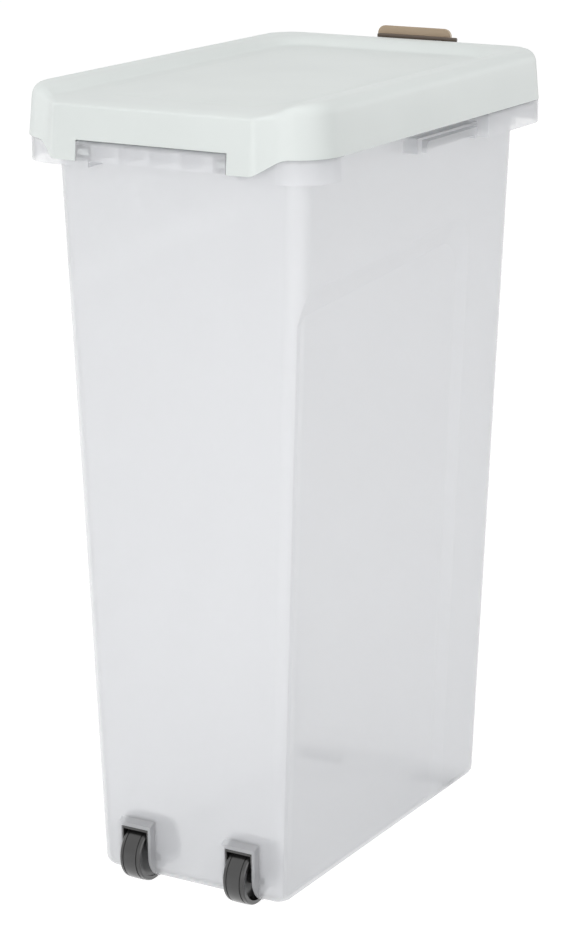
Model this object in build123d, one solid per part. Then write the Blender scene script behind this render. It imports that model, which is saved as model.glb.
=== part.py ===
from build123d import *
import math
import os

# Pet food storage bin: a tall tapered translucent tub on two rear wheels and two front feet, closed
# by a hinged lid with a gasket, and held shut by a rocking latch at the front.
# X runs across the bin, +Y points to the hinge and wheel end, +Z is up. Every length is in millimetres.
# Shapes are drawn about the tub's own centre and moved at the end, so that the origin is the centre
# of the base of the whole object.

# Tub, whose inner edges are bevelled by this share of the outer edges' radius
base_half_width = 81.3
base_half_length = 157.3
collar_half_width = 104.0
collar_half_length = 166.2
ground_gap = 5.0
tub_height = 570.0
tub_wall = 2.4
bend_share = 0.5
floor_thickness = 3.0
tub_corner_radius = 13.5
base_edge_radius = 9.0

# Recessed panel low on each long side
panel_depth = 3.0
panel_front_inset = 80.3
panel_top_drop = 113.0
panel_top_angle = 4.3
panel_corner_radius = 22.0
panel_slope_width = 16.0

# Rim flange round the top of the tub
flange_side_reach = 20.2
flange_end_reach = 18.2
flange_corner_radius = 33.0
flange_below_collar = 11.3
flange_thickness = 2.6
flange_drop = 17.4
flange_wall = 2.4
front_flange_length = 111.4
rear_flange_length = 38.0
rear_flange_width = 64.2
side_ledge_reach = 8.0
rim_rib_thickness = 1.8
rim_rib_pitch = 34.0

# Hand grip under each long side of the rim: two arches, one inside the other
grip_reach = 12.0
grip_length = 95.8
grip_bar_height = 1.8
grip_bar_drop = 6.2
grip_outer_leg = 7.3
grip_groove = 2.2
grip_leg_groove = 7.0
grip_inner_leg = 6.5
grip_inner_bar = 6.0
grip_corner_radius = 6.0

# Lid
lid_overhang = 1.2
lid_height = 37.5
lid_wall = 2.2
lid_seat_gap = 0.3
lid_draft_angle = 5.0
lid_edge_radius = 10.0
lid_slope_length = 39.0
lid_slope_radius = 69.0
rim_width = 26.0
front_rim_width = 28.0
basin_depth = 7.4
basin_corner_radius = 26.0
basin_side_angle = 40.0
panel_side_margin = 14.0
panel_front_margin = 22.0
panel_rear_margin = 29.0
panel_rise = 1.2
lid_panel_radius = 34.0

# Hinge: a block on the lid wraps a bracket on the tub
block_reach = 14.7
block_drop = 11.0
block_half_width = 78.0
block_end_radius = 12.0
block_end_turn = 42.0
block_blend_radius = 50.0
corner_start_turn = 20.0
block_rise_width = 24.0
bracket_half_width = 61.0
bracket_height = 14.0
bracket_wall = 2.6
bracket_edge_radius = 3.5
bracket_bays = 4
bracket_side_gap = 0.5
bracket_top_gap = 0.6
hinge_axis_inset = 5.5
hinge_axis_lift = 6.0
hinge_pin_radius = 2.5
hinge_pin_grip = 8.0
hinge_pin_reach = 9.0
hinge_boss_wall = 2.1
cheek_thickness = 2.4
cheek_depth = 10.5

# Gasket and the ribs that hold it
gasket_width = 6.6
gasket_height = 4.6
gasket_gap = 0.3
gasket_side_gap = 0.2
gasket_rib_thickness = 1.8
gasket_rib_drop = 3.6
gasket_lip = 1.0
gasket_groove = 0.6

# Latch
latch_half_width = 32.4
latch_clear = 1.6
latch_depth = 4.6
latch_wall = 2.6
latch_tab_rise = 7.3
latch_tab_radius = 6.5
latch_foot_radius = 3.0
latch_below_rim = 5.3
latch_grip_depth = 1.5
latch_grip_height = 4.0
latch_grip_slope = 12.0
latch_hook_gap = 0.7
latch_hook_height = 4.6
latch_axis_inset = 6.8
latch_axis_drop = 13.5
latch_pin_radius = 2.0
latch_pin_half_length = 29.0
latch_ear_x = 20.0
latch_ear_thickness = 4.0
latch_ear_wall = 2.4
latch_ear_side_gap = 0.6
latch_slot_low = 7.0
latch_slot_high = 7.6
latch_lug_thickness = 4.6
latch_lug_gap = 2.3

# Wheels, their wells and axles
wheel_spacing = 90.6
wheel_inset = 7.0
wheel_radius = 21.5
wheel_hub_length = 21.0
tread_width = 18.0
wheel_recess = 6.0
wheel_rim_thickness = 4.2
wheel_hub_radius = 6.0
well_clearance = 5.6
well_side_gap = 1.3
cowl_reach = 13.7
cowl_curve_radius = 22.0
axle_radius = 2.5
axle_boss_radius = 5.5
axle_boss_length = 3.4
axle_end_gap = 0.3
running_clearance = 0.05

# Front feet
foot_side_inset = 29.3
foot_end_inset = 23.3
foot_length = 36.0
foot_width = 16.0
foot_corner_radius = 4.0

# Cuts reach this far past what they cut, and joined shapes sink this far into each other
past = 10.0
sunk = 1.0

# Values worked out from the sizes above
collar_height = ground_gap + tub_height
big = 2.0 * collar_height
slope_x = (collar_half_width - base_half_width) / tub_height
slope_y = (collar_half_length - base_half_length) / tub_height
panel_front_y = panel_front_inset - base_half_length
panel_top_height = collar_height - panel_top_drop
flange_half_width = collar_half_width + flange_side_reach
flange_half_length = collar_half_length + flange_end_reach
flange_top = collar_height - flange_below_collar
flange_bottom = flange_top - flange_drop
flange_front_end_y = front_flange_length - flange_half_length
side_ledge_half_width = collar_half_width + side_ledge_reach
lid_edge = flange_top + lid_seat_gap
lid_top = lid_edge + lid_height
lid_half_width = flange_half_width + lid_overhang
lid_front_y = -flange_half_length - lid_overhang
rear_wall_y = flange_half_length + lid_seat_gap
block_rear_y = flange_half_length + block_reach
block_bottom = lid_edge - block_drop
lid_slope_start_y = block_rear_y - lid_slope_length
bracket_top = block_bottom + bracket_height
hinge_y = block_rear_y - hinge_axis_inset
hinge_z = block_bottom + hinge_axis_lift
gasket_low = collar_height + gasket_gap
gasket_top = gasket_low + gasket_height
latch_inner_y = lid_front_y - latch_clear
latch_outer_y = latch_inner_y - latch_depth
latch_axis_y = lid_front_y + latch_axis_inset
latch_axis_z = lid_top - latch_axis_drop
latch_tab_top = lid_top + latch_tab_rise
latch_bottom = flange_bottom - latch_below_rim
latch_ear_radius = latch_pin_radius + latch_ear_wall
wheel_x = wheel_spacing / 2.0
wheel_y = base_half_length - wheel_inset
well_radius = wheel_radius + well_clearance
well_half_width = wheel_hub_length / 2.0 + well_side_gap
cowl_front_y = wheel_y + cowl_reach
axle_half_length = well_half_width + tub_wall / 2.0 + axle_boss_length
foot_x = base_half_width - foot_side_inset
foot_y = foot_end_inset - base_half_length
front_reach = latch_grip_depth - latch_outer_y
origin_shift = (front_reach - block_rear_y) / 2.0


def half_width_at(height):
    return base_half_width + slope_x * (height - ground_gap)


def half_length_at(height):
    return base_half_length + slope_y * (height - ground_gap)


def cylinder_x(radius, x_low, x_high, y, z):
    # A round bar along X
    disc = Plane(origin=(x_low, y, z), z_dir=(1, 0, 0)) * Circle(radius)
    return extrude(disc, amount=x_high - x_low)


def block_between(x_low, x_high, y_low, y_high, z_low, z_high):
    # A box given by its two limits along each axis
    size = (x_high - x_low, y_high - y_low, z_high - z_low)
    centre = ((x_low + x_high) / 2, (y_low + y_high) / 2, (z_low + z_high) / 2)
    return Pos(*centre) * Box(*size)


def rectangle_between(x_low, x_high, y_low, y_high):
    return Pos((x_low + x_high) / 2, (y_low + y_high) / 2) * Rectangle(x_high - x_low, y_high - y_low)


def both_sides(solid):
    return solid + mirror(solid, about=Plane.YZ)


def tapered_tub(narrower, inset, low, high):
    # The tub's tapered block: rounded corners, and a bottom edge rounded outside and bevelled inside
    corner_radius = tub_corner_radius - inset
    half_low = half_width_at(low) - narrower - inset
    half_high = half_width_at(high) - narrower - inset
    long_low = half_length_at(low) - inset
    long_high = half_length_at(high) - inset
    across = Polyline((-half_low, low), (half_low, low), (half_high, high), (-half_high, high), close=True)
    along = Polyline((-long_low, low), (long_low, low), (long_high, high), (-long_high, high), close=True)
    front_view = extrude(make_face(Plane.XZ * across), amount=big, both=True)
    side_view = extrude(make_face(Plane.YZ * along), amount=big, both=True)
    tub = front_view & side_view
    uprights = [e for e in tub.edges() if abs(e.tangent_at(0.5).Z) > 0.9]
    tub = fillet(uprights, corner_radius)
    bottom_edges = tub.faces().sort_by(Axis.Z)[0].edges()
    if inset == 0.0:
        return fillet(bottom_edges, base_edge_radius)
    return chamfer(bottom_edges, base_edge_radius * bend_share)


def panel_outline(grow):
    # Side view of the recessed panel: (y, z) limits, open past the hinge end and past the floor
    front = panel_front_y - grow
    rear = 1.5 * base_half_length
    rise = math.tan(math.radians(panel_top_angle))
    front_height = panel_top_height - rise * front + grow
    rear_height = panel_top_height - rise * rear + grow
    low = -panel_top_height / 8
    outline = Polygon((front, low), (rear, low), (rear, rear_height), (front, front_height), align=None)
    corner = outline.vertices().sort_by_distance((front, front_height, 0))[0]
    return fillet(corner, panel_corner_radius)


def panel_cutter(inset):
    # The space in front of one recessed panel, with wide sloping sides, on the +X wall
    lean = math.atan(slope_x)
    wall = Plane(origin=(half_width_at(0.0), 0, 0), x_dir=(0, 1, 0),
                 z_dir=(math.cos(lean), 0, -math.sin(lean)))
    steepness = panel_slope_width / panel_depth
    below = sunk
    above = panel_depth
    inner = wall.offset(-panel_depth - inset - below) * panel_outline(-below * steepness)
    outer = wall.offset(above - inset) * panel_outline((panel_depth + above) * steepness)
    return loft([inner, outer], ruled=True)


def recessed_tub(inset, low, high):
    # The full tapered tub above and in front, joined to the narrower one behind the panels
    full = tapered_tub(0.0, inset, low, high)
    narrow = tapered_tub(panel_depth, inset, low, high)
    return (full - both_sides(panel_cutter(inset))) + narrow


def flange_plan():
    return RectangleRounded(2 * flange_half_width, 2 * flange_half_length, flange_corner_radius)


def skirt(region, low, high):
    # The flange's upright wall, where it lies inside a region of its plan
    plan = flange_plan() & region
    ring = plan - offset(plan, -flange_wall)
    return extrude(Pos(0, 0, low) * ring, amount=high - low)


def rim_ribs():
    # Stiffening ribs under the front stretch of the flange
    low = flange_bottom + flange_wall
    high = flange_top - flange_thickness / 2
    half = rim_rib_thickness / 2
    ribs = []
    for index in range(int(front_flange_length // rim_rib_pitch)):
        y = flange_front_end_y - rim_rib_pitch * (index + 0.5)
        ribs.append(block_between(half_width_at(low) - sunk, flange_half_width - flange_wall / 2,
                                  y - half, y + half, low, high))
    for index in range(2):
        x = rim_rib_pitch * (index + 1.0)
        ribs.append(block_between(x - half, x + half, -flange_half_length + flange_wall / 2,
                                  -half_length_at(low) + sunk, low, high))
    joined = ribs[0]
    for rib in ribs[1:]:
        joined = joined + rib
    return both_sides(joined)


def grip_arches():
    # Two nested arches that stand out of the +X wall under the rim, with a finger space below them
    wall_x = half_width_at(flange_bottom) - sunk
    face_x = half_width_at(flange_bottom) + grip_reach
    front = flange_front_end_y
    rear = front + grip_length
    top = flange_top - grip_bar_drop
    outer = block_between(wall_x, face_x, front - sunk, rear, flange_bottom, top)
    room = block_between(wall_x, face_x + past, front - past, rear - grip_outer_leg,
                         flange_bottom - past, top - grip_bar_height)
    inner_rear = rear - grip_outer_leg - grip_leg_groove
    inner_top = top - grip_bar_height - grip_groove
    inner = block_between(wall_x, face_x, front - 2 * sunk, inner_rear, flange_bottom - sunk, inner_top)
    shoulder = [e for e in inner.edges().filter_by(Axis.X)
                if e.center().Z > inner_top - sunk / 2 and e.center().Y > front]
    inner = fillet(shoulder, grip_corner_radius)
    fingers = block_between(wall_x, face_x + past, front + grip_inner_leg / 2, inner_rear - grip_inner_leg,
                            flange_bottom - past, inner_top - grip_inner_bar)
    return (outer - room) + (inner - fingers)


def hinge_bracket():
    # Hollow bar that stands out of the rim, open below, with cross walls and a bore at each end
    inner_y = half_length_at(flange_top) - sunk
    bar = block_between(-bracket_half_width, bracket_half_width, inner_y, block_rear_y,
                        block_bottom, bracket_top)
    edge = bar.edges().filter_by(Axis.X).sort_by_distance((0, block_rear_y, bracket_top))[0]
    bar = fillet(edge, bracket_edge_radius)
    room_half = bracket_half_width - hinge_pin_reach - bracket_wall
    bay = (2 * room_half - (bracket_bays - 1) * bracket_wall) / bracket_bays
    for index in range(bracket_bays):
        x_low = -room_half + index * (bay + bracket_wall)
        bar = bar - block_between(x_low, x_low + bay, half_length_at(flange_top) + bracket_wall,
                                  block_rear_y - bracket_wall, block_bottom - past, bracket_top - bracket_wall)
    bore = cylinder_x(hinge_pin_radius + running_clearance, bracket_half_width - hinge_pin_reach,
                      bracket_half_width + past, hinge_y, hinge_z)
    return bar - both_sides(bore)


def cowl_section(radius):
    # Side view of a wheel well: a disc cut off by the curved front lip and by the floor
    disc = Pos(wheel_y, wheel_radius) * Circle(radius)
    curve_y = cowl_front_y - cowl_curve_radius
    curve_z = cowl_curve_radius + ground_gap / 2
    rear = wheel_y - radius - past
    keep = rectangle_between(rear, cowl_front_y, curve_z, wheel_radius + radius + past)
    keep = keep + rectangle_between(rear, curve_y, ground_gap, curve_z + sunk)
    bow = Pos(curve_y, curve_z) * Circle(cowl_curve_radius)
    keep = keep + (bow & rectangle_between(curve_y - sunk, cowl_front_y + past, ground_gap, curve_z + sunk))
    return disc & keep


def wheel_well():
    # Outer form of the +X wheel well, the part inside the tub included, with its axle bosses
    half = well_half_width + tub_wall
    section = Plane.YZ * cowl_section(well_radius + tub_wall)
    well = Pos(wheel_x - half, 0, 0) * extrude(section, amount=2 * half, dir=(1, 0, 0))
    reach = half + axle_boss_length
    boss = cylinder_x(axle_boss_radius, wheel_x - reach, wheel_x + reach, wheel_y, wheel_radius)
    inside = block_between(-big, big, -big, half_length_at(ground_gap), 0, big)
    return well + (boss & inside)


def wheel_space():
    # Room for the +X wheel, open downwards and outwards, and the blind bores for its axle
    room_low = wheel_x - well_half_width
    room_high = wheel_x + well_half_width
    bore_low = wheel_x - axle_half_length
    bore_high = wheel_x + axle_half_length
    room = cylinder_x(well_radius, room_low, room_high, wheel_y, wheel_radius)
    return room + cylinder_x(axle_radius, bore_low, bore_high, wheel_y, wheel_radius)


def front_foot():
    top = ground_gap + floor_thickness / 2
    base = Pos(foot_x, foot_y, top) * RectangleRounded(foot_length, foot_width, foot_corner_radius)
    return extrude(base, amount=-top)


def make_rim():
    # All that stands out round the tub's top: flange, skirts, ribs, grips and hinge bracket
    ledge_low = flange_top - flange_thickness
    skirt_top = ledge_low + flange_thickness / 2
    rear_start = flange_half_length - rear_flange_length
    ledge = extrude(Pos(0, 0, ledge_low) * flange_plan(), amount=flange_thickness)
    side_cut = block_between(side_ledge_half_width, flange_half_width + past, flange_front_end_y, rear_start,
                             ledge_low - past, flange_top + past)
    front_region = rectangle_between(-big, big, -big, flange_front_end_y)
    rear_region = rectangle_between(flange_half_width - rear_flange_width, big, rear_start, big)
    rim = ledge - both_sides(side_cut)
    rim = rim + skirt(front_region, flange_bottom, skirt_top)
    rim = rim + both_sides(skirt(rear_region, flange_bottom, skirt_top))
    return rim + rim_ribs() + both_sides(grip_arches()) + hinge_bracket()


def make_bin_body():
    outer = recessed_tub(0.0, ground_gap, collar_height)
    cavity = recessed_tub(tub_wall, ground_gap + floor_thickness, collar_height + past)
    body = outer + make_rim()
    body = body - cavity
    body = body + both_sides(wheel_well())
    body = body - both_sides(wheel_space())
    return body + both_sides(front_foot())


def lid_plan():
    # Right half of the lid's outline, from the hinge block round to the front, then mirrored
    rear = Line((0, block_rear_y), (block_half_width, block_rear_y))
    block_end = JernArc(rear @ 1, (1, 0), block_end_radius, -block_end_turn)
    blend = JernArc(block_end @ 1, block_end % 1, block_blend_radius, block_end_turn - corner_start_turn)
    turn = math.sin(math.radians(corner_start_turn))
    rear_radius = (lid_half_width - (blend @ 1).X) / (1 - turn)
    rear_corner = JernArc(blend @ 1, blend % 1, rear_radius, corner_start_turn - 90)
    front_radius = flange_corner_radius + lid_overhang
    side_end = (lid_half_width, lid_front_y + front_radius)
    side = Line(rear_corner @ 1, side_end)
    front_corner = JernArc(side_end, (0, -1), front_radius, -90)
    front = Line(front_corner @ 1, (0, lid_front_y))
    half = make_face([rear, block_end, blend, rear_corner, side, front_corner, front,
                      Line((0, lid_front_y), (0, block_rear_y))])
    whole = half + mirror(half, about=Plane.YZ)
    return make_face(whole.edges())


def lid_slope(inset):
    # Everything above the lid's top face, which bends down towards the hinge
    top = lid_top - inset
    end_y = block_rear_y + sunk
    end_z = top - lid_slope_radius + math.sqrt(lid_slope_radius ** 2 - (end_y - lid_slope_start_y) ** 2)
    start_y = lid_front_y - past
    over = lid_top + lid_height
    outline = [
        Line((start_y, top), (lid_slope_start_y, top)),
        TangentArc((lid_slope_start_y, top), (end_y, end_z), tangent=(1, 0)),
        Polyline((end_y, end_z), (end_y, over), (start_y, over), (start_y, top)),
    ]
    face = Plane.YZ * make_face(outline)
    return Pos(-big / 2, 0, 0) * extrude(face, amount=big, dir=(1, 0, 0))


def lid_basin(inset):
    # Shallow basin in the lid's top, open towards the hinge
    spread = basin_depth / math.tan(math.radians(basin_side_angle))
    closer = inset * math.tan(math.radians(basin_side_angle / 2))
    half = lid_half_width - rim_width - spread + closer
    front = lid_front_y + front_rim_width + spread - closer
    rear = block_rear_y + basin_corner_radius
    plan = Pos(0, (front + rear) / 2) * RectangleRounded(2 * half, rear - front, basin_corner_radius)
    return extrude(Pos(0, 0, lid_top - basin_depth - inset) * plan, amount=basin_depth + inset + sunk,
                   taper=basin_side_angle - 90.0)


def lid_form(inset):
    # The lid's block, drawn in by an inset: tapered sides, sloped top, soft rim and basin
    plan = lid_plan() if inset == 0.0 else offset(lid_plan(), -inset)
    height = lid_top + sunk - block_bottom
    form = extrude(Pos(0, 0, block_bottom) * plan, amount=height, taper=lid_draft_angle)
    form = form - lid_slope(inset)
    upper = [e for f in form.faces() if f.normal_at().Z > 0.5 for e in f.edges()]
    across = [e for e in upper if abs(e.tangent_at(0.5).X) > 0.9]
    bend = [e for e in across if abs(e.center().Y - lid_slope_start_y) < sunk]
    rim_edges = [e for e in upper if e not in bend]
    if inset == 0.0:
        form = fillet(rim_edges, lid_edge_radius)
    else:
        form = chamfer(rim_edges, lid_edge_radius * bend_share)
    return form - lid_basin(inset)


def ring(half_width, half_length, radius, thickness, low, high):
    # Upright wall whose centre line is a rounded rectangle
    outer = RectangleRounded(2 * half_width + thickness, 2 * half_length + thickness, radius + thickness / 2)
    inner = RectangleRounded(2 * half_width - thickness, 2 * half_length - thickness, radius - thickness / 2)
    return extrude(Pos(0, 0, low) * (outer - inner), amount=high - low)


def collar_ring(side_shift, thickness, low, high):
    # A ring that follows the tub's collar, shifted outwards or inwards from its centre line
    centre = side_shift - tub_wall / 2
    return ring(collar_half_width + centre, collar_half_length + centre, tub_corner_radius + centre,
                thickness, low, high)


def lid_underside_cut():
    # Trims the skirt to the rim's height, and lets it sweep down to the hinge block's lower edge
    low = block_bottom - past
    start = block_half_width
    end = block_half_width + block_rise_width
    everywhere = block_between(-big, big, -big, rear_wall_y, low, lid_edge)
    middle = ((start + end) / 2, (block_bottom + lid_edge) / 2)
    sweep = make_face([
        Line((start, low), (start, block_bottom)),
        Spline((start, block_bottom), middle, (end, lid_edge), tangents=[(1, 0), (1, 0)]),
        Polyline((end, lid_edge), (big, lid_edge), (big, low), (start, low)),
    ])
    side = Pos(0, rear_wall_y - sunk, 0) * extrude(Plane.XZ * sweep, amount=-block_reach - past)
    return everywhere + both_sides(side)


def lid_panel():
    # Slightly raised panel in the basin's floor
    spread = basin_depth / math.tan(math.radians(basin_side_angle))
    half = lid_half_width - rim_width - spread - panel_side_margin
    front = lid_front_y + front_rim_width + spread + panel_front_margin
    rear = block_rear_y - panel_rear_margin
    plan = Pos(0, (front + rear) / 2) * RectangleRounded(2 * half, rear - front, lid_panel_radius)
    return extrude(Pos(0, 0, lid_top - basin_depth - lid_wall / 2) * plan, amount=panel_rise + lid_wall / 2)


def gasket_ribs():
    # Two ribs that hold the gasket by its sides, and a shorter one that presses on it
    shift = (gasket_width + gasket_rib_thickness) / 2 + gasket_side_gap
    side_low = gasket_top - gasket_rib_drop
    outer = collar_ring(shift, gasket_rib_thickness, side_low, lid_top)
    inner = collar_ring(-shift, gasket_rib_thickness, side_low, lid_top)
    middle = collar_ring(0.0, gasket_rib_thickness, gasket_top + gasket_gap, lid_top)
    return outer + inner + middle


def latch_lugs():
    # Lugs inside the lid's front wall that carry the latch's pin
    low_x = latch_ear_x + latch_ear_thickness / 2 + latch_lug_gap
    lug = block_between(low_x, low_x + latch_lug_thickness, lid_front_y, latch_axis_y + latch_ear_radius,
                        latch_axis_z - latch_ear_radius, lid_top)
    return both_sides(lug)


def latch_slots():
    # Slots in the lid's front wall for the latch's ears, and the bore for its pin
    half = latch_ear_thickness / 2 + latch_ear_side_gap
    slot = block_between(latch_ear_x - half, latch_ear_x + half, lid_front_y - past, latch_axis_y,
                         latch_axis_z - latch_slot_low, latch_axis_z + latch_slot_high)
    return both_sides(slot) + make_latch_pin()


def hinge_cheek():
    # Wall and boss beside the tub's bracket on the +X side, for the hinge pin
    low_x = bracket_half_width + bracket_side_gap
    wall = block_between(low_x, low_x + cheek_thickness, block_rear_y - cheek_depth, block_rear_y + past,
                         block_bottom, lid_top)
    boss = cylinder_x(hinge_pin_radius + hinge_boss_wall, low_x, low_x + hinge_pin_grip, hinge_y, hinge_z)
    return wall + boss


def make_lid():
    outer = lid_form(0.0)
    shell = outer - lid_form(lid_wall)
    notch_half = bracket_half_width + bracket_side_gap
    notch = block_between(-notch_half, notch_half, rear_wall_y - sunk, block_rear_y + past,
                          block_bottom - past, bracket_top + bracket_top_gap)
    inner_parts = gasket_ribs() + latch_lugs() + both_sides(hinge_cheek())
    lid = shell + (inner_parts & outer)
    lid = lid + lid_panel()
    lid = lid - lid_underside_cut() - notch - latch_slots()
    bore = cylinder_x(hinge_pin_radius, 0, notch_half + hinge_pin_grip, hinge_y, hinge_z)
    return lid - both_sides(bore)


def make_gasket():
    body = collar_ring(0.0, gasket_width, gasket_low, gasket_top)
    groove_width = gasket_width - 2 * gasket_lip
    return body - collar_ring(0.0, groove_width, gasket_low - past, gasket_low + gasket_groove)


def latch_profile():
    # Side view of the latch's lever, tab and catch, as (y, z) points
    back = latch_outer_y + latch_wall
    hook = -flange_half_length - latch_hook_gap
    hook_top = latch_bottom + latch_hook_height
    grip_y = latch_outer_y - latch_grip_depth
    grip_top = latch_bottom + latch_grip_height
    nose = latch_wall / 3
    return Polygon(
        (back, latch_tab_top), (back, hook_top), (hook, hook_top - nose), (hook, latch_bottom + nose),
        (hook - nose, latch_bottom), (grip_y, latch_bottom), (grip_y, grip_top),
        (latch_outer_y, grip_top + latch_grip_slope), (latch_outer_y, latch_tab_top - nose),
        (latch_outer_y + nose, latch_tab_top), align=None)


def latch_front_view():
    # Front view of the latch, with its rounded upper and lower corners
    outline = rectangle_between(-latch_half_width, latch_half_width, latch_bottom, latch_tab_top)
    outline = fillet(outline.vertices().group_by(Axis.Y)[-1], latch_tab_radius)
    return fillet(outline.vertices().group_by(Axis.Y)[0], latch_foot_radius)


def make_latch():
    profile = extrude(Plane.YZ * latch_profile(), amount=latch_half_width, both=True)
    plate = profile & extrude(Plane.XZ * latch_front_view(), amount=big, both=True)
    side_wall = block_between(latch_half_width - latch_wall, latch_half_width, latch_outer_y + sunk / 2,
                              latch_inner_y, latch_bottom + latch_hook_height, lid_top - latch_wall)
    low_x = latch_ear_x - latch_ear_thickness / 2
    high_x = latch_ear_x + latch_ear_thickness / 2
    arm = block_between(low_x, high_x, latch_outer_y + sunk / 2, latch_axis_y,
                        latch_axis_z - latch_ear_radius, latch_axis_z + latch_ear_radius)
    ear = arm + cylinder_x(latch_ear_radius, low_x, high_x, latch_axis_y, latch_axis_z)
    plate = plate + both_sides(side_wall) + both_sides(ear)
    return plate - cylinder_x(latch_pin_radius + running_clearance, -latch_half_width, latch_half_width,
                              latch_axis_y, latch_axis_z)


def make_latch_pin():
    reach = latch_pin_half_length
    return cylinder_x(latch_pin_radius, -reach, reach, latch_axis_y, latch_axis_z)


def make_hinge_pin(side):
    start = bracket_half_width - hinge_pin_reach + axle_end_gap
    end = bracket_half_width + bracket_side_gap + hinge_pin_grip
    pin = cylinder_x(hinge_pin_radius, start, end, hinge_y, hinge_z)
    return pin if side > 0 else mirror(pin, about=Plane.YZ)


def make_wheel(side):
    # Turned section, as (radius, distance along the axle): rim, web and hub, open on the outer side
    bore = axle_radius + running_clearance
    hub_half = wheel_hub_length / 2
    tread_half = tread_width / 2
    inner_rim = wheel_radius - wheel_rim_thickness
    web_face = tread_half - wheel_recess
    section = Polyline(
        (bore, -hub_half), (wheel_hub_radius, -hub_half), (wheel_hub_radius, -tread_half),
        (wheel_radius, -tread_half), (wheel_radius, tread_half), (inner_rim, tread_half),
        (inner_rim, web_face), (wheel_hub_radius, web_face), (wheel_hub_radius, hub_half),
        (bore, hub_half), close=True)
    wheel = revolve(make_face(section), axis=Axis.Y)
    return Plane(origin=(side * wheel_x, wheel_y, wheel_radius), x_dir=(0, 0, side), z_dir=(0, 1, 0)) * wheel


def make_axle(side):
    reach = axle_half_length - axle_end_gap
    return cylinder_x(axle_radius, side * wheel_x - reach, side * wheel_x + reach, wheel_y, wheel_radius)


# Each piece by the name of its file
pieces = {
    "bin_body": make_bin_body,
    "lid": make_lid,
    "lid_gasket": make_gasket,
    "latch": make_latch,
    "latch_pin": make_latch_pin,
    "hinge_pin_left": lambda: make_hinge_pin(-1),
    "hinge_pin_right": lambda: make_hinge_pin(1),
    "wheel_left": lambda: make_wheel(-1),
    "wheel_right": lambda: make_wheel(1),
    "axle_left": lambda: make_axle(-1),
    "axle_right": lambda: make_axle(1),
}


def build_all():
    os.makedirs("parts", exist_ok=True)
    for name, make in pieces.items():
        solid = Pos(0, origin_shift, 0) * make()
        export_step(solid, "parts/" + name + ".step")


if __name__ == "__main__":
    build_all()
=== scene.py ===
import math

import bmesh
import bpy
from mathutils import Matrix, Vector


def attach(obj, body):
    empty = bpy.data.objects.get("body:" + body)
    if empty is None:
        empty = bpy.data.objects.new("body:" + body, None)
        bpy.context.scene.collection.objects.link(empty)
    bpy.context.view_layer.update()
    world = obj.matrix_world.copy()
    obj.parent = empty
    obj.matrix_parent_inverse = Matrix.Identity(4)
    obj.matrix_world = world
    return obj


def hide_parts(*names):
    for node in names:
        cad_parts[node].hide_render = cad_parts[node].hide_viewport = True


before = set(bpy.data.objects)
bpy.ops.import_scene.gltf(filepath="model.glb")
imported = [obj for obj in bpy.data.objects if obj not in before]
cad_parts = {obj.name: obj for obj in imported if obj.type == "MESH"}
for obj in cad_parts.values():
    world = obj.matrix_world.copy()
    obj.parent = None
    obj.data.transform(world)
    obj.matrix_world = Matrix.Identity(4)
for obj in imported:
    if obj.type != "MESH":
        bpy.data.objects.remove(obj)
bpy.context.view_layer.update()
bpy.context.scene.view_settings.view_transform = "Standard"
print("frame loaded")


# colours are written as sRGB hex and used as linear values
def hexToLinear(code):
    values = []
    for start in (0, 2, 4):
        c = int(code[start:start + 2], 16) / 255
        values.append(c / 12.92 if c <= 0.04045 else ((c + 0.055) / 1.055) ** 2.4)
    return (*values, 1.0)


# adds one node with its settings and its links: inputs is {socket: value or (node, socket)}
def addNode(tree, kind, inputs=None, **settings):
    node = tree.nodes.new(kind)
    for key, value in settings.items():
        setattr(node, key, value)
    for key, value in (inputs or {}).items():
        if isinstance(value, tuple) and isinstance(value[0], bpy.types.Node):
            tree.links.new(value[0].outputs[value[1]], node.inputs[key])
        else:
            node.inputs[key].default_value = value
    return node


def newMaterial(name):
    material = bpy.data.materials.new(name)
    material.use_nodes = True
    material.node_tree.nodes.clear()
    return material, material.node_tree


def finishMaterial(material, tree, shader, volume=None):
    output = addNode(tree, "ShaderNodeOutputMaterial", {"Surface": (shader, 0)})
    if volume:
        tree.links.new(volume.outputs[0], output.inputs["Volume"])
    return material


# stage: pale floor, soft boxes and the photograph's camera, in metres and watts, the lens in millimetres
stage = {
    "floorColour": "F4F4F4",  # the floor as it lights the bin
    "shadowColour": "9C9C9C",  # the floor as it is seen: with the glow it is white, apart from the shadow
    "floorGlow": 0.91,
    "floorRough": 0.6,
    "floorSize": 14.0,
    "worldLight": 0.3,
    "cameraPlace": (-1.0650, 1.8351, 0.8785),
    "cameraRight": (-0.86323, -0.50480, -0.00353),
    "cameraUp": (0.13134, -0.23134, 0.96397),
    "lens": 110.71,
    "sensor": 36.0,
    "shift": (0.00195, 0.00026),
    "clip": (0.05, 60.0),
    "lampTarget": (0, 0, 0.3),
    "lamps": {
        "endLamp": {"place": (-0.5, 3.0, 1.0), "size": (1.4, 1.4), "power": 36},
        "cornerLamp": {"place": (-2.5, 1.3, 1.4), "size": (1.9, 2.4), "power": 16},
        "latchLamp": {"place": (-1.3, -2.7, 0.9), "size": (1.4, 1.4), "power": 15},
        "farLamp": {"place": (2.8, 0.5, 0.9), "size": (1.6, 1.6), "power": 20},
        "topLamp": {"place": (-0.3, 0.3, 2.8), "size": (1.6, 1.6), "power": 25},
    },
}


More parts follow.
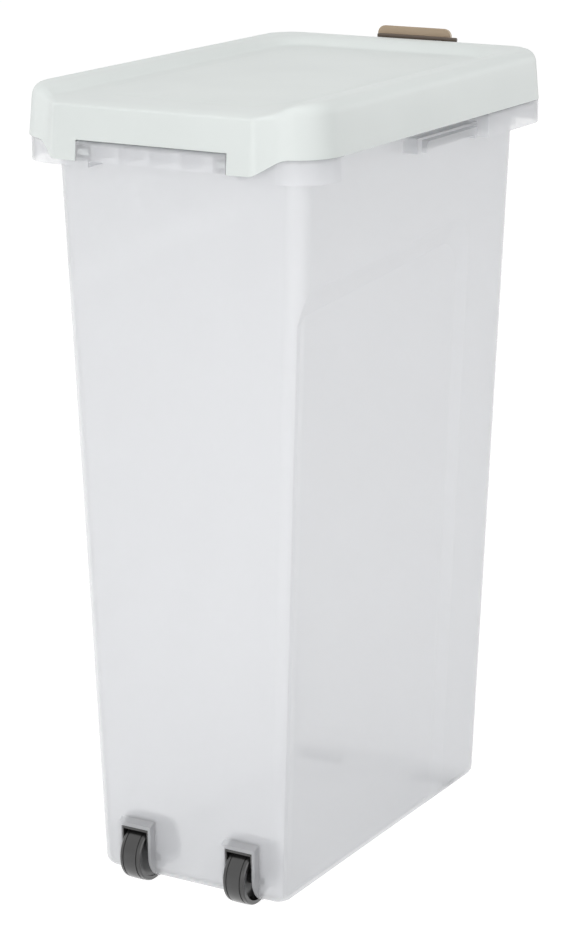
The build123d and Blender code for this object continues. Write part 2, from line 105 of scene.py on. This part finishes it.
def makeCamera():
    right = Vector(stage["cameraRight"]).normalized()
    up = Vector(stage["cameraUp"])
    up = (up - right * up.dot(right)).normalized()
    back = right.cross(up)
    data = bpy.data.cameras.new("photoCamera")
    data.lens = stage["lens"]
    data.sensor_width = stage["sensor"]
    data.sensor_fit = "AUTO"
    data.shift_x, data.shift_y = stage["shift"]
    data.clip_start, data.clip_end = stage["clip"]
    camera = bpy.data.objects.new("photoCamera", data)
    turn = Matrix((right, up, back)).transposed().to_4x4()
    camera.matrix_world = Matrix.Translation(Vector(stage["cameraPlace"])) @ turn
    bpy.context.collection.objects.link(camera)
    bpy.context.scene.camera = camera


# 1 for a ray that the viewer sees directly, in a gloss or through a clear wall
def seenRay(tree):
    path = addNode(tree, "ShaderNodeLightPath")
    direct = (path, "Is Camera Ray")
    gloss = (path, "Is Glossy Ray")
    through = (path, "Is Transmission Ray")
    seen = addNode(tree, "ShaderNodeMath", {0: direct, 1: gloss}, operation="MAXIMUM")
    return addNode(tree, "ShaderNodeMath", {0: (seen, 0), 1: through}, operation="MAXIMUM")


# matt white paint, rolled: an even ground, lost in the background but for the soft shadow
def makeFloor():
    half = stage["floorSize"] / 2
    corners = [(-half, -half, 0), (half, -half, 0), (half, half, 0), (-half, half, 0)]
    mesh = bpy.data.meshes.new("floor")
    mesh.from_pydata(corners, [], [(0, 1, 2, 3)])
    floor = bpy.data.objects.new("floor", mesh)
    bpy.context.collection.objects.link(floor)
    material, tree = newMaterial("rolledWhitePaint")
    plain = addNode(tree, "ShaderNodeBsdfDiffuse", {
        "Color": hexToLinear(stage["floorColour"]), "Roughness": stage["floorRough"]})
    shaded = addNode(tree, "ShaderNodeBsdfDiffuse", {
        "Color": hexToLinear(stage["shadowColour"]), "Roughness": stage["floorRough"]})
    glow = addNode(tree, "ShaderNodeEmission", {"Color": (1, 1, 1, 1), "Strength": stage["floorGlow"]})
    seen = addNode(tree, "ShaderNodeAddShader", {0: (shaded, 0), 1: (glow, 0)})
    mixed = addNode(tree, "ShaderNodeMixShader", {0: (seenRay(tree), 0), 1: (plain, 0), 2: (seen, 0)})
    finishMaterial(material, tree, mixed)
    floor.data.materials.append(material)


# the world is seen as white, and lights the bin at its own lower level
def makeWorld():
    world = bpy.data.worlds.new("studio")
    bpy.context.scene.world = world
    world.use_nodes = True
    tree = world.node_tree
    tree.nodes.clear()
    light = addNode(tree, "ShaderNodeBackground", {"Color": (1, 1, 1, 1), "Strength": stage["worldLight"]})
    white = addNode(tree, "ShaderNodeBackground", {"Color": (1, 1, 1, 1), "Strength": 1.0})
    mixed = addNode(tree, "ShaderNodeMixShader", {0: (seenRay(tree), 0), 1: (light, 0), 2: (white, 0)})
    addNode(tree, "ShaderNodeOutputWorld", {"Surface": (mixed, 0)})


def makeLamps():
    target = Vector(stage["lampTarget"])
    for name, d in stage["lamps"].items():
        data = bpy.data.lights.new(name, "AREA")
        data.shape = "RECTANGLE"
        data.size, data.size_y = d["size"]
        data.energy = d["power"]
        lamp = bpy.data.objects.new(name, data)
        lamp.location = d["place"]
        lamp.rotation_euler = (target - Vector(d["place"])).to_track_quat("-Z", "Y").to_euler()
        bpy.context.collection.objects.link(lamp)


makeCamera()
makeFloor()
makeWorld()
makeLamps()
print("stage and lamps")

# what all the plastics share; the fine grain is drawn four times coarser, so that it shows
mould = {"grainDrawn": 4, "grainDetail": 3.0, "bumpDepth": 0.0003, "ior": 1.49, "flowMm": 90,
         "flowDetail": 2.0, "flowEnds": (0.3, 0.7), "sheenSpread": 0.05, "coatRough": 0.2}

# polypropylene without pigment, injection moulded: milky and softly see-through, with a faint gloss
frosted = {
    "colour": "FBFCFF", "rough": 0.3, "coat": 0.6, "coatRough": 0.12,
    "through": 0.2, "cover": 0.36,  # shares of clear refraction and of surface that hides what is behind
    "haze": "9A9DA0", "hazeDepth": 35.0,  # tint of the wall and its strength for each metre inside it
    "grainMm": 0.35, "bump": 0.04,
}


def frostedPolypropylene():
    d = frosted
    material, tree = newMaterial("mouldedFrostedPolypropylene")
    place = addNode(tree, "ShaderNodeTexCoord")
    grain = addNode(tree, "ShaderNodeTexNoise", {
        "Vector": (place, "Object"), "Scale": 1000 / d["grainMm"] / mould["grainDrawn"],
        "Detail": mould["grainDetail"]})
    bump = addNode(tree, "ShaderNodeBump", {
        "Height": (grain, "Fac"), "Strength": d["bump"], "Distance": mould["bumpDepth"]})
    shader = addNode(tree, "ShaderNodeBsdfPrincipled", {
        "Base Color": hexToLinear(d["colour"]), "Roughness": d["rough"], "IOR": mould["ior"],
        "Transmission Weight": d["through"], "Alpha": d["cover"], "Coat Weight": d["coat"],
        "Coat Roughness": d["coatRough"], "Normal": (bump, 0)})
    haze = addNode(tree, "ShaderNodeVolumeAbsorption", {
        "Color": hexToLinear(d["haze"]), "Density": d["hazeDepth"]})
    return finishMaterial(material, tree, shader, haze)


# plastics that hide what is behind them: colour and shade are the two ends of a faint cloud
plastics = {
    # polypropylene with a mint-grey masterbatch, injection moulded: satin, faintly cloudy, fine grain
    "mouldedMintPolypropylene": {"colour": "DCE1DF", "shade": "D8DDDB", "rough": 0.4, "grainMm": 0.5,
                                 "bump": 0.05, "coat": 0.0, "shine": 0.25},
    # silicone rubber, extruded: matt and slightly grey, almost without grain
    "extrudedPaleSilicone": {"colour": "DADCDA", "shade": "D2D4D2", "rough": 0.6, "grainMm": 0.8,
                             "bump": 0.03, "coat": 0.0, "shine": 0.5},
    # tan ABS, injection moulded: satin with a low gloss
    "mouldedTanAbs": {"colour": "B5A189", "shade": "AC9982", "rough": 0.36, "grainMm": 0.5,
                      "bump": 0.05, "coat": 0.0, "shine": 0.5},
    # tan ABS, injection moulded, darkened to brown as painted shade: dark and dull, so that the bar reads as
    # the latch's shaded back
    "mouldedTanAbsInPaintedShade": {"colour": "5C5046", "shade": "52473E", "rough": 0.4, "grainMm": 0.5,
                        "bump": 0.05, "coat": 0.0, "shine": 0.5},
    # black nylon, injection moulded: dark, with a broad sheen on the tread
    "mouldedBlackNylon": {"colour": "222222", "shade": "1B1B1B", "rough": 0.34, "grainMm": 0.8,
                          "bump": 0.05, "coat": 0.9, "shine": 0.5},
}


def opaquePlastic(name):
    d = plastics[name]
    material, tree = newMaterial(name)
    place = addNode(tree, "ShaderNodeTexCoord")
    # broad flow marks shift the tone a little
    flow = addNode(tree, "ShaderNodeTexNoise", {
        "Vector": (place, "Object"), "Scale": 1000 / mould["flowMm"], "Detail": mould["flowDetail"]})
    tone = addNode(tree, "ShaderNodeValToRGB", {"Fac": (flow, "Fac")})
    for end, position, colour in zip(tone.color_ramp.elements, mould["flowEnds"], (d["shade"], d["colour"])):
        end.position = position
        end.color = hexToLinear(colour)
    # fine grain, left by the mould or the die
    grain = addNode(tree, "ShaderNodeTexNoise", {
        "Vector": (place, "Object"), "Scale": 1000 / d["grainMm"] / mould["grainDrawn"],
        "Detail": mould["grainDetail"]})
    sheen = addNode(tree, "ShaderNodeMapRange", {
        "Value": (grain, "Fac"), "To Min": d["rough"] - mould["sheenSpread"],
        "To Max": d["rough"] + mould["sheenSpread"]})
    bump = addNode(tree, "ShaderNodeBump", {
        "Height": (grain, "Fac"), "Strength": d["bump"], "Distance": mould["bumpDepth"]})
    shader = addNode(tree, "ShaderNodeBsdfPrincipled", {
        "Base Color": (tone, "Color"), "Roughness": (sheen, "Result"), "IOR": mould["ior"],
        "Coat Weight": d["coat"], "Coat Roughness": mould["coatRough"],
        "Specular IOR Level": d["shine"], "Normal": (bump, 0)})
    return finishMaterial(material, tree, shader)


# drawn steel wire, cut and ground: bright, with a slightly uneven gloss; drawn eight times coarser to show
steelWire = {"colour": "9FA1A3", "rough": 0.28, "spread": 0.08, "lineMm": 0.2, "lineDrawn": 8}


def drawnSteel():
    d = steelWire
    material, tree = newMaterial("drawnSteel")
    place = addNode(tree, "ShaderNodeTexCoord")
    lines = addNode(tree, "ShaderNodeTexNoise", {
        "Vector": (place, "Object"), "Scale": 1000 / d["lineMm"] / d["lineDrawn"]})
    sheen = addNode(tree, "ShaderNodeMapRange", {
        "Value": (lines, "Fac"), "To Min": d["rough"] - d["spread"], "To Max": d["rough"] + d["spread"]})
    shader = addNode(tree, "ShaderNodeBsdfPrincipled", {
        "Base Color": hexToLinear(d["colour"]), "Metallic": 1.0, "Roughness": (sheen, "Result")})
    return finishMaterial(material, tree, shader)


def giveFinish(nodes, material):
    for name in nodes:
        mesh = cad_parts[name].data
        mesh.materials.clear()
        mesh.materials.append(material)


lidPlastic = opaquePlastic("mouldedMintPolypropylene")
blackNylon = opaquePlastic("mouldedBlackNylon")
giveFinish(["bin_body"], frostedPolypropylene())
giveFinish(["lid", "hinge_pin_left", "hinge_pin_right"], lidPlastic)
giveFinish(["lid_gasket"], opaquePlastic("extrudedPaleSilicone"))
giveFinish(["latch"], opaquePlastic("mouldedTanAbs"))
giveFinish(["wheel_left", "wheel_right"], blackNylon)
giveFinish(["latch_pin", "axle_left", "axle_right"], drawnSteel())
print("materials")


# a new object from points in millimetres and faces
def newPiece(name, points, faces):
    mesh = bpy.data.meshes.new(name)
    mesh.from_pydata([tuple(c / 1000 for c in point) for point in points], [], faces)
    piece = bpy.data.objects.new(name, mesh)
    bpy.context.collection.objects.link(piece)
    return piece


# applies the modifiers, then shades the piece smooth except across edges sharper than the angle
def settle(piece, sharpAngle):
    graph = bpy.context.evaluated_depsgraph_get()
    mesh = bpy.data.meshes.new_from_object(piece.evaluated_get(graph))
    piece.modifiers.clear()
    piece.data = mesh
    mesh.polygons.foreach_set("use_smooth", [True] * len(mesh.polygons))
    mesh.set_sharp_from_angle(angle=math.radians(sharpAngle))


# turns the faces of a closed piece outwards
def closeNormals(piece):
    work = bmesh.new()
    work.from_mesh(piece.data)
    bmesh.ops.recalc_face_normals(work, faces=work.faces)
    work.to_mesh(piece.data)
    work.free()


# lid: one moulding with drafted skirts, a soft rim, a dished top and a tight lip over the hinge
lidSize = {
    # half width and ends at the foot of the skirt, rim height, lower edge at the sides and at the hinge
    "half": 125.4, "front": -188.5, "rear": 196.2, "top": 601.5, "edge": 564.0, "low": 553.0,
    "wall": 2.2, "draft": 5.0, "frontRadius": 34.2,
    # hinge block: two arcs as (radius, heading), width of the edge's sweep, and where the rear wall starts
    "blockHalf": 78.0, "blockEnd": (12.0, 42.0), "blockBlend": (50.0, 20.0), "riseWidth": 24.0,
    "rearWall": 181.8,
    # rounding of the rim: tight over the hinge, growing over a run of columns past the block's corner
    "lipRadius": 2.6, "rimRadius": 10.0, "growAfter": 3, "growOver": 12,
    # slope down to the hinge, an arc that is used for this share of its radius
    "slopeStart": 157.2, "slopeRadius": 69.0, "slopeShare": 0.9,
    # notch for the tub's bracket and slots for the latch, with the rows of faces left out for them
    "notchHalf": 61.5, "notchTop": 567.6, "notchRows": (0, 1),
    "slotSides": (22.6, 17.4), "slotLow": 581.0, "slotRows": (4, 5, 6), "skirtMiddle": 574.0,
    # basin, open towards the hinge, with a soft foot and a soft edge to the rim
    "basinHalf": 90.6, "basinFront": -151.7, "basinOpen": 600, "basinRadius": 26.0, "basinDepth": 7.4,
    "basinAngle": 40.0, "basinFoot": 2, "basinSoft": 5.0,
    # panel raised in the basin
    "panelHalf": 76.6, "panelFront": -129.7, "panelRear": 153.0, "panelRadius": 34.0, "panelRise": 0.9,
    "panelSoft": 3.4,
    # how finely the arcs are divided
    "bendSteps": (6, 5, 10), "sideSteps": 9, "cornerSteps": 9, "filletSteps": 7, "fillSteps": 10,
    # points across the hinge side and the front, besides those at the notch, the block and the slots
    "rearStops": (0, 20, 40, 70), "frontStops": (70, 50, 34, 8, 0),
    # loops round the basin: how far outside its edge, where they end at the hinge, and their rear corners
    "rimLoops": (12.5, 10.8, 9.6, 8.4, 7.0, 5.5, 4.0, 2.5, 1.2, 0.0, -1.5, -3.5, -7.0),
    "loopRear": 164, "loopSlant": 0.3, "loopRadius": 38.0,
    # loops round the panel's edge and inwards; from the inner loop on, the radius is a share of the width
    "panelLoops": (3.4, 2.0, 0.7, -0.7, -2.0, -3.4, -14.0, -40.0, -76.6),
    "innerLoop": -40, "innerShare": 0.4,
    # how the top's height and tilt are found over the skirt, and tolerances for picking faces
    "meetSteps": 4, "probe": 2, "nearWall": 2, "near": 0.01, "leastRadius": 1e-6,
    # merging of points, in metres, and the angle from which an edge is drawn sharp
    "weld": 0.00002, "sliver": 0.00001, "sharpAngle": 34,
}


# points along an arc after its start, each as (x, y, heading); a negative turn goes right
def arcRun(start, radius, turn, count):
    x, y, heading = start
    side = 1 if turn > 0 else -1
    h = math.radians(heading)
    cx, cy = x - side * radius * math.sin(h), y + side * radius * math.cos(h)
    run = []
    for step in range(1, count + 1):
        now = math.radians(heading + turn * step / count)
        px, py = cx + side * radius * math.sin(now), cy - side * radius * math.cos(now)
        run.append((px, py, math.degrees(now)))
    return run


# right half of the lid's outline, from the middle of the hinge side to the middle of the front
def lidOutline():
    d = lidSize
    endRadius, endTurn = d["blockEnd"]
    blendRadius, blendTurn = d["blockBlend"]
    endSteps, blendSteps, lastSteps = d["bendSteps"]
    rearStops = sorted((*d["rearStops"], d["notchHalf"], d["blockHalf"]))
    rear = [(x, d["rear"], 0.0) for x in rearStops]
    bend = arcRun(rear[-1], endRadius, -endTurn, endSteps)
    bend += arcRun(bend[-1], blendRadius, endTurn - blendTurn, blendSteps)
    lastRadius = (d["half"] - bend[-1][0]) / (1 - math.sin(math.radians(blendTurn)))
    bend += arcRun(bend[-1], lastRadius, blendTurn - 90, lastSteps)
    y = bend[-1][1]
    sideEnd = d["front"] + d["frontRadius"]
    steps = d["sideSteps"]
    side = [(d["half"], y + (sideEnd - y) * k / steps, -90.0) for k in range(1, steps + 1)]
    corner = arcRun(side[-1], d["frontRadius"], -90, d["cornerSteps"])
    frontStops = sorted((*d["frontStops"], *d["slotSides"]), reverse=True)
    front = [(x, d["front"], -180.0) for x in frontStops]
    return rear, bend, side, corner, front


# distance in plan to the edge of a rounded rectangle, negative inside
def boxDistance(x, y, half, low, high, radius):
    dx = abs(x) - half + radius
    dy = abs(y - (low + high) / 2) - (high - low) / 2 + radius
    return math.hypot(max(dx, 0), max(dy, 0)) + min(max(dx, dy), 0) - radius


def smoothStep(value):
    t = min(max(value, 0), 1)
    return t * t * (3 - 2 * t)


# height of the lid's top at a point: level rim, slope to the hinge, soft basin and raised panel
def lidHeight(x, y):
    d = lidSize
    past = min(max(0, y - d["slopeStart"]), d["slopeRadius"] * d["slopeShare"])
    rim = d["top"] - d["slopeRadius"] + math.sqrt(d["slopeRadius"] ** 2 - past ** 2)
    out = boxDistance(x, y, d["basinHalf"], d["basinFront"], d["basinOpen"], d["basinRadius"])
    run = (out + math.hypot(out, d["basinFoot"])) / 2
    basin = d["top"] - d["basinDepth"] + math.tan(math.radians(d["basinAngle"])) * run
    panel = boxDistance(x, y, d["panelHalf"], d["panelFront"], d["panelRear"], d["panelRadius"])
    basin += d["panelRise"] * smoothStep(0.5 - panel / d["panelSoft"] / 2)
    # the lower of basin and rim, with a soft change between them
    share = min(max(0.5 + 0.5 * (basin - rim) / d["basinSoft"], 0), 1)
    return basin + (rim - basin) * share - d["basinSoft"] * share * (1 - share)


# a rounded rectangle with one point for each point of the outline
def topLoop(groups, half, front, rear, frontRadius, rearRadius):
    d = lidSize
    rearRun, bend, side, corner, frontRun = groups
    loop = [(x * (half - rearRadius) / d["blockHalf"], rear) for x, y, h in rearRun]
    rearStart = (half - rearRadius, rear, 0)
    rearCorner = arcRun(rearStart, max(rearRadius, d["leastRadius"]), -90, len(bend))
    loop += [(px, py) for px, py, h in rearCorner]
    y = rear - rearRadius
    loop += [(half, y + (front + frontRadius - y) * k / len(side)) for k in range(1, len(side) + 1)]
    frontStart = (half, front + frontRadius, -90)
    frontCorner = arcRun(frontStart, max(frontRadius, d["leastRadius"]), -90, len(corner))
    loop += [(px, py) for px, py, h in frontCorner]
    wide = d["half"] - d["frontRadius"]
    return loop + [(x * (half - frontRadius) / wide, front) for x, y, h in frontRun]


# one upright run of points: up the skirt, then round the fillet to the top
def lidColumn(x, y, heading, radius):
    d = lidSize
    h = math.radians(heading)
    nx, ny = math.sin(h), -math.cos(h)
    a = math.radians(d["draft"])
    lean = math.tan(a)
    rise = smoothStep((abs(x) - d["blockHalf"]) / d["riseWidth"])
    foot = d["low"] + (d["edge"] - d["low"]) * rise if y > d["rearWall"] else d["edge"]
    # where the leaning skirt meets the top, found in a few steps
    z = d["top"]
    for _ in range(d["meetSteps"]):
        off = (z - d["low"]) * lean
        z = lidHeight(x + nx * off, y + ny * off)
    ahead = lidHeight(x + nx * (off + d["probe"]), y + ny * (off + d["probe"]))
    turn = math.radians(90 - d["draft"]) - math.atan2(ahead - z, d["probe"])
    reach = radius * math.tan(turn / 2)
    startOff, startZ = off - reach * math.sin(a), z - reach * math.cos(a)
    rows = []
    for level in (foot, (foot + d["notchTop"]) / 2, d["notchTop"], d["skirtMiddle"], d["slotLow"]):
        rows.append((x + nx * (level - d["low"]) * lean, y + ny * (level - d["low"]) * lean, level))
    for step in range(d["filletSteps"] + 1):
        t = turn * step / d["filletSteps"]
        off = startOff + radius * (math.sin(t) * math.sin(a) + (1 - math.cos(t)) * math.cos(a))
        high = startZ + radius * (math.sin(t) * math.cos(a) - (1 - math.cos(t)) * math.sin(a))
        rows.append((x + nx * off, y + ny * off, high))
    return rows


# loops of points over the top, from outside the basin's edge to the middle of the panel
def topLoops(groups):
    d = lidSize
    loops = []
    for out in d["rimLoops"]:
        rear = d["loopRear"] - (d["rimLoops"][0] - out) * d["loopSlant"]
        frontRadius = d["basinRadius"] + out
        loops.append(topLoop(groups, d["basinHalf"] + out, d["basinFront"] - out, rear, frontRadius,
                             d["loopRadius"]))
    for out in d["panelLoops"]:
        half = max(d["panelHalf"] + out, 0)
        inner = out <= d["innerLoop"]
        radius = half * d["innerShare"] if inner else min(d["panelRadius"] + out, half)
        loops.append(topLoop(groups, half, d["panelFront"] - out, d["panelRear"] + out, radius, radius))
    return loops


# all the columns round the lid, each from the foot of the skirt to the middle of the top
def lidColumns():
    d = lidSize
    groups = lidOutline()
    outline = [point for group in groups for point in group]
    loops = topLoops(groups)
    grow = len(groups[0]) + d["growAfter"]
    columns = []
    for k, (x, y, h) in enumerate(outline):
        growth = smoothStep((k - grow) / d["growOver"])
        column = lidColumn(x, y, h, d["lipRadius"] + (d["rimRadius"] - d["lipRadius"]) * growth)
        ex, ey = column[-1][:2]
        fx, fy = loops[0][k]
        for step in range(1, d["fillSteps"] + 1):
            share = step / (d["fillSteps"] + 1)
            px, py = ex + (fx - ex) * share, ey + (fy - ey) * share
            column.append((px, py, lidHeight(px, py)))
        column += [(*loop[k], lidHeight(*loop[k])) for loop in loops]
        columns.append(column)
    return columns + [[(-x, y, z) for x, y, z in column] for column in reversed(columns[1:-1])]


# faces between neighbouring columns, without those of the notch and the slots
def lidFaces(columns):
    d = lidSize
    rows, count = len(columns[0]), len(columns)
    slot = sorted(d["slotSides"])
    faces = []
    for k in range(count):
        n = (k + 1) % count
        xs = sorted((abs(columns[k][0][0]), abs(columns[n][0][0])))
        ys = sorted((columns[k][0][1], columns[n][0][1]))
        inNotch = ys[0] > d["rear"] - d["nearWall"] and xs[1] < d["notchHalf"] + d["near"]
        atFront = ys[1] < d["front"] + d["nearWall"]
        inSlot = atFront and abs(xs[0] - slot[0]) < d["near"] and abs(xs[1] - slot[1]) < d["near"]
        for row in range(rows - 1):
            if inNotch and row in d["notchRows"] or inSlot and row in d["slotRows"]:
                continue
            faces.append((k * rows + row, k * rows + row + 1, n * rows + row + 1, n * rows + row))
    return faces


# the outer skin, welded and turned outwards, then given its wall on the inside
def makeLidShell():
    d = lidSize
    columns = lidColumns()
    shell = newPiece("lidShell", [point for column in columns for point in column], lidFaces(columns))
    work = bmesh.new()
    work.from_mesh(shell.data)
    bmesh.ops.remove_doubles(work, verts=work.verts, dist=d["weld"])
    bmesh.ops.dissolve_degenerate(work, dist=d["sliver"], edges=work.edges)
    bmesh.ops.delete(work, geom=[v for v in work.verts if not v.link_faces], context="VERTS")
    bmesh.ops.recalc_face_normals(work, faces=work.faces)
    highest = max(work.faces, key=lambda face: face.calc_center_median().z)
    if highest.normal.z < 0:
        bmesh.ops.reverse_faces(work, faces=work.faces)
    work.to_mesh(shell.data)
    work.free()
    wall = shell.modifiers.new("wall", "SOLIDIFY")
    wall.thickness = d["wall"] / 1000
    wall.offset = -1
    wall.use_even_offset = True
    wall.use_quality_normals = True
    settle(shell, d["sharpAngle"])
    shell.data.materials.append(lidPlastic)
    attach(shell, "lid")
    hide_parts("lid")


# under the lid: ribs beside and over the gasket, lugs for the latch's pin, cheeks and bosses for the hinge
lidRibs = {
    # rib rings: half sizes, middle and corner radius of the middle one, and how far the others stand off
    "ringHalf": (102.8, 165.0), "ringMiddleY": -2.9, "ringRadius": 12.3, "shift": 4.4, "thick": 1.8,
    "sideLow": 576.3, "middleLow": 580.2, "bury": 1.1, "cornerSteps": 6, "stride": 25,
    "lugX": (24.3, 28.9), "lugY": (-184.3, -177.3), "lugLow": 583.6,
    "cheekX": (61.5, 63.9), "cheekY": (185.7, 195.1), "cheekTopY": (185.7, 192.0), "cheekLow": 553.0,
    "bossX": (61.5, 69.5), "bossAxis": (190.7, 559.0), "bossRadii": (2.5, 4.6), "bossSteps": 24,
    "sharpAngle": 34,
}


def makeLidRibs():
    d = lidRibs
    points, faces = [], []

    # tops stand inside the lid's wall, so that the ribs grow out of it
    def ribTop(x, y):
        return lidHeight(x, y) - d["bury"]

    def ringLoop(grow):
        half, long = d["ringHalf"][0] + grow, d["ringHalf"][1] + grow
        radius = d["ringRadius"] + grow
        loop = []
        for sx, sy, turn in ((1, 1, 0), (-1, 1, 90), (-1, -1, 180), (1, -1, 270)):
            for step in range(d["cornerSteps"] + 1):
                a = math.radians(turn + 90 * step / d["cornerSteps"])
                x = sx * (half - radius) + radius * math.cos(a)
                loop.append((x, d["ringMiddleY"] + sy * (long - radius) + radius * math.sin(a)))
        # straight stretches are divided, so that the tops follow the basin
        fine = []
        for k, (x, y) in enumerate(loop):
            nx, ny = loop[(k + 1) % len(loop)]
            parts = max(1, round(math.hypot(nx - x, ny - y) / d["stride"]))
            fine += [(x + (nx - x) * j / parts, y + (ny - y) * j / parts) for j in range(parts)]
        return fine

    def addRing(shift, low):
        first = len(points)
        for side in (d["thick"] / 2, -d["thick"] / 2):
            loop = ringLoop(shift + side)
            points.extend((x, y, low) for x, y in loop)
            points.extend((x, y, ribTop(x, y)) for x, y in loop)
        count = len(loop)
        outLow, outHigh, inLow, inHigh = (first + j * count for j in range(4))
        for k in range(count):
            n = (k + 1) % count
            faces.append((outLow + k, outLow + n, outHigh + n, outHigh + k))
            faces.append((inLow + n, inLow + k, inHigh + k, inHigh + n))
            faces.append((outLow + n, outLow + k, inLow + k, inLow + n))
            faces.append((outHigh + k, outHigh + n, inHigh + n, inHigh + k))

    def addBlock(xs, ys, topYs, low):
        first = len(points)
        for x, y in ((xs[0], ys[0]), (xs[1], ys[0]), (xs[1], ys[1]), (xs[0], ys[1])):
            points.append((x, y, low))
        for x, y in ((xs[0], topYs[0]), (xs[1], topYs[0]), (xs[1], topYs[1]), (xs[0], topYs[1])):
            points.append((x, y, ribTop(x, y)))
        for face in ((3, 2, 1, 0), (4, 5, 6, 7), (0, 1, 5, 4), (1, 2, 6, 5), (2, 3, 7, 6), (3, 0, 4, 7)):
            faces.append(tuple(first + k for k in face))

    def addBoss(xs):
        first, count = len(points), d["bossSteps"]
        y, z = d["bossAxis"]
        inner, outer = d["bossRadii"]
        section = ((xs[0], inner), (xs[1], inner), (xs[1], outer), (xs[0], outer))
        for x, radius in section:
            for step in range(count):
                a = 2 * math.pi * step / count
                points.append((x, y + radius * math.cos(a), z + radius * math.sin(a)))
        for ring in range(len(section)):
            now, then = first + ring * count, first + (ring + 1) % len(section) * count
            for k in range(count):
                n = (k + 1) % count
                faces.append((now + k, now + n, then + n, then + k))

    addRing(d["shift"], d["sideLow"])
    addRing(-d["shift"], d["sideLow"])
    addRing(0, d["middleLow"])
    for side in (1, -1):
        addBlock([side * x for x in d["lugX"]], d["lugY"], d["lugY"], d["lugLow"])
        addBlock([side * x for x in d["cheekX"]], d["cheekY"], d["cheekTopY"], d["cheekLow"])
        addBoss([side * x for x in d["bossX"]])
    ribs = newPiece("lidRibs", points, faces)
    closeNormals(ribs)
    settle(ribs, d["sharpAngle"])
    ribs.data.materials.append(lidPlastic)
    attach(ribs, "lid")


makeLidShell()
makeLidRibs()
print("lid")

# wheels: middle of each, and a turned section as (radius, distance along the axle), outer side positive
wheelSize = {
    "x": 45.3, "y": 147.4, "z": 21.5, "steps": 64, "sharpAngle": 32,
    "section": (
        (2.55, -10.5), (6.0, -10.5), (6.0, -8.2), (17.3, -8.2),  # bore, hub and inner web
        (17.7, -9.0), (20.4, -9.0), (21.1, -8.2), (21.35, -6.2),  # inner shoulder
        (20.8, -6.0), (20.8, -5.4), (21.4, -5.2),  # groove
        (21.5, -2.0), (21.5, 2.0),  # tread
        (21.4, 5.2), (20.8, 5.4), (20.8, 6.0),  # groove
        (21.35, 6.2), (21.1, 8.2), (20.4, 9.0), (17.7, 9.0),  # outer shoulder
        (17.3, 8.2), (16.7, 3.0), (6.0, 3.0), (6.0, 10.5), (2.55, 10.5),  # dished outer web, hub and bore
    ),
}


def makeWheel(name, side):
    d = wheelSize
    points, faces = [], []
    rows = len(d["section"])
    for step in range(d["steps"]):
        a = 2 * math.pi * step / d["steps"]
        for radius, out in d["section"]:
            y, z = d["y"] + radius * math.cos(a), d["z"] + radius * math.sin(a)
            points.append((side * (d["x"] + out), y, z))
    for step in range(d["steps"]):
        now, then = step * rows, (step + 1) % d["steps"] * rows
        for row in range(rows):
            n = (row + 1) % rows
            faces.append((now + row, now + n, then + n, then + row))
    wheel = newPiece(name, points, faces)
    closeNormals(wheel)
    settle(wheel, d["sharpAngle"])
    wheel.data.materials.append(blackNylon)
    node = "wheel_left" if side < 0 else "wheel_right"
    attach(wheel, node)
    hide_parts(node)


# black liner round each wheel inside its cowl: a channel bent over the wheel
linerSize = {
    "half": 11.4, "inside": 10.2,  # half widths of the channel, outside and inside
    "low": 12.0, "under": 24.8, "high": 26.6,  # radii of its edges, its inner face and its outer face
    "front": 13.1, "rear": 200.0,  # flat front end before the axle, and the angle where it ends
    "steps": 28, "sharpAngle": 32,
}


def makeLiner(name, side):
    d = linerSize
    half, inside, low, under, high = (d[key] for key in ("half", "inside", "low", "under", "high"))
    section = ((half, low), (half, high), (-half, high), (-half, low),
               (-inside, low), (-inside, under), (inside, under), (inside, low))
    rows = len(section)
    points, faces = [], []
    for step in range(d["steps"] + 1):
        for out, radius in section:
            first = math.degrees(math.acos(min(1, d["front"] / radius)))
            a = math.radians(first + (d["rear"] - first) * step / d["steps"])
            y, z = wheelSize["y"] + radius * math.cos(a), wheelSize["z"] + radius * math.sin(a)
            points.append((side * (wheelSize["x"] + out), y, z))
    for step in range(d["steps"]):
        now, then = step * rows, (step + 1) * rows
        for k in range(rows):
            n = (k + 1) % rows
            faces.append((now + k, now + n, then + n, then + k))
    # both ends are closed with three quads
    for first in (0, d["steps"] * rows):
        for quad in ((0, 1, 6, 7), (1, 2, 5, 6), (2, 3, 4, 5)):
            faces.append(tuple(first + k for k in quad))
    liner = newPiece(name, points, faces)
    closeNormals(liner)
    settle(liner, d["sharpAngle"])
    liner.data.materials.append(blackNylon)
    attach(liner, "bin")


for side, label in ((-1, "Left"), (1, "Right")):
    makeWheel("wheel" + label, side)
    makeLiner("liner" + label, side)
print("wheels")

# soft edges of the latch, in millimetres and degrees
latchEdge = {"width": 0.9, "segments": 3, "angle": 50}


def softenLatch():
    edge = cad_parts["latch"].modifiers.new("softEdge", "BEVEL")
    edge.width = latchEdge["width"] / 1000
    edge.segments = latchEdge["segments"]
    edge.limit_method = "ANGLE"
    edge.angle_limit = math.radians(latchEdge["angle"])
    edge.harden_normals = True


# the bar behind the latch's tab, whose end shows beside it; its dark brown is painted shade on the latch's
# tan ABS
latchBar = {"x": (-39.5, 31.0), "y": (-190.9, -187.6), "z": (599.4, 602.8), "edge": 0.9, "segments": 3,
            "sharpAngle": 34}


def makeLatchBar():
    d = latchBar
    points = [(x, y, z) for x in d["x"] for y in d["y"] for z in d["z"]]
    faces = [(0, 1, 3, 2), (4, 6, 7, 5), (0, 4, 5, 1), (2, 3, 7, 6), (0, 2, 6, 4), (1, 5, 7, 3)]
    bar = newPiece("latchBar", points, faces)
    edge = bar.modifiers.new("softEdge", "BEVEL")
    edge.width = d["edge"] / 1000
    edge.segments = d["segments"]
    settle(bar, d["sharpAngle"])
    # the bar's colour is painted shade: the latch's tan ABS darkened to brown
    bar.data.materials.append(opaquePlastic("mouldedTanAbsInPaintedShade"))
    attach(bar, "latch")


softenLatch()
makeLatchBar()
print("latch")
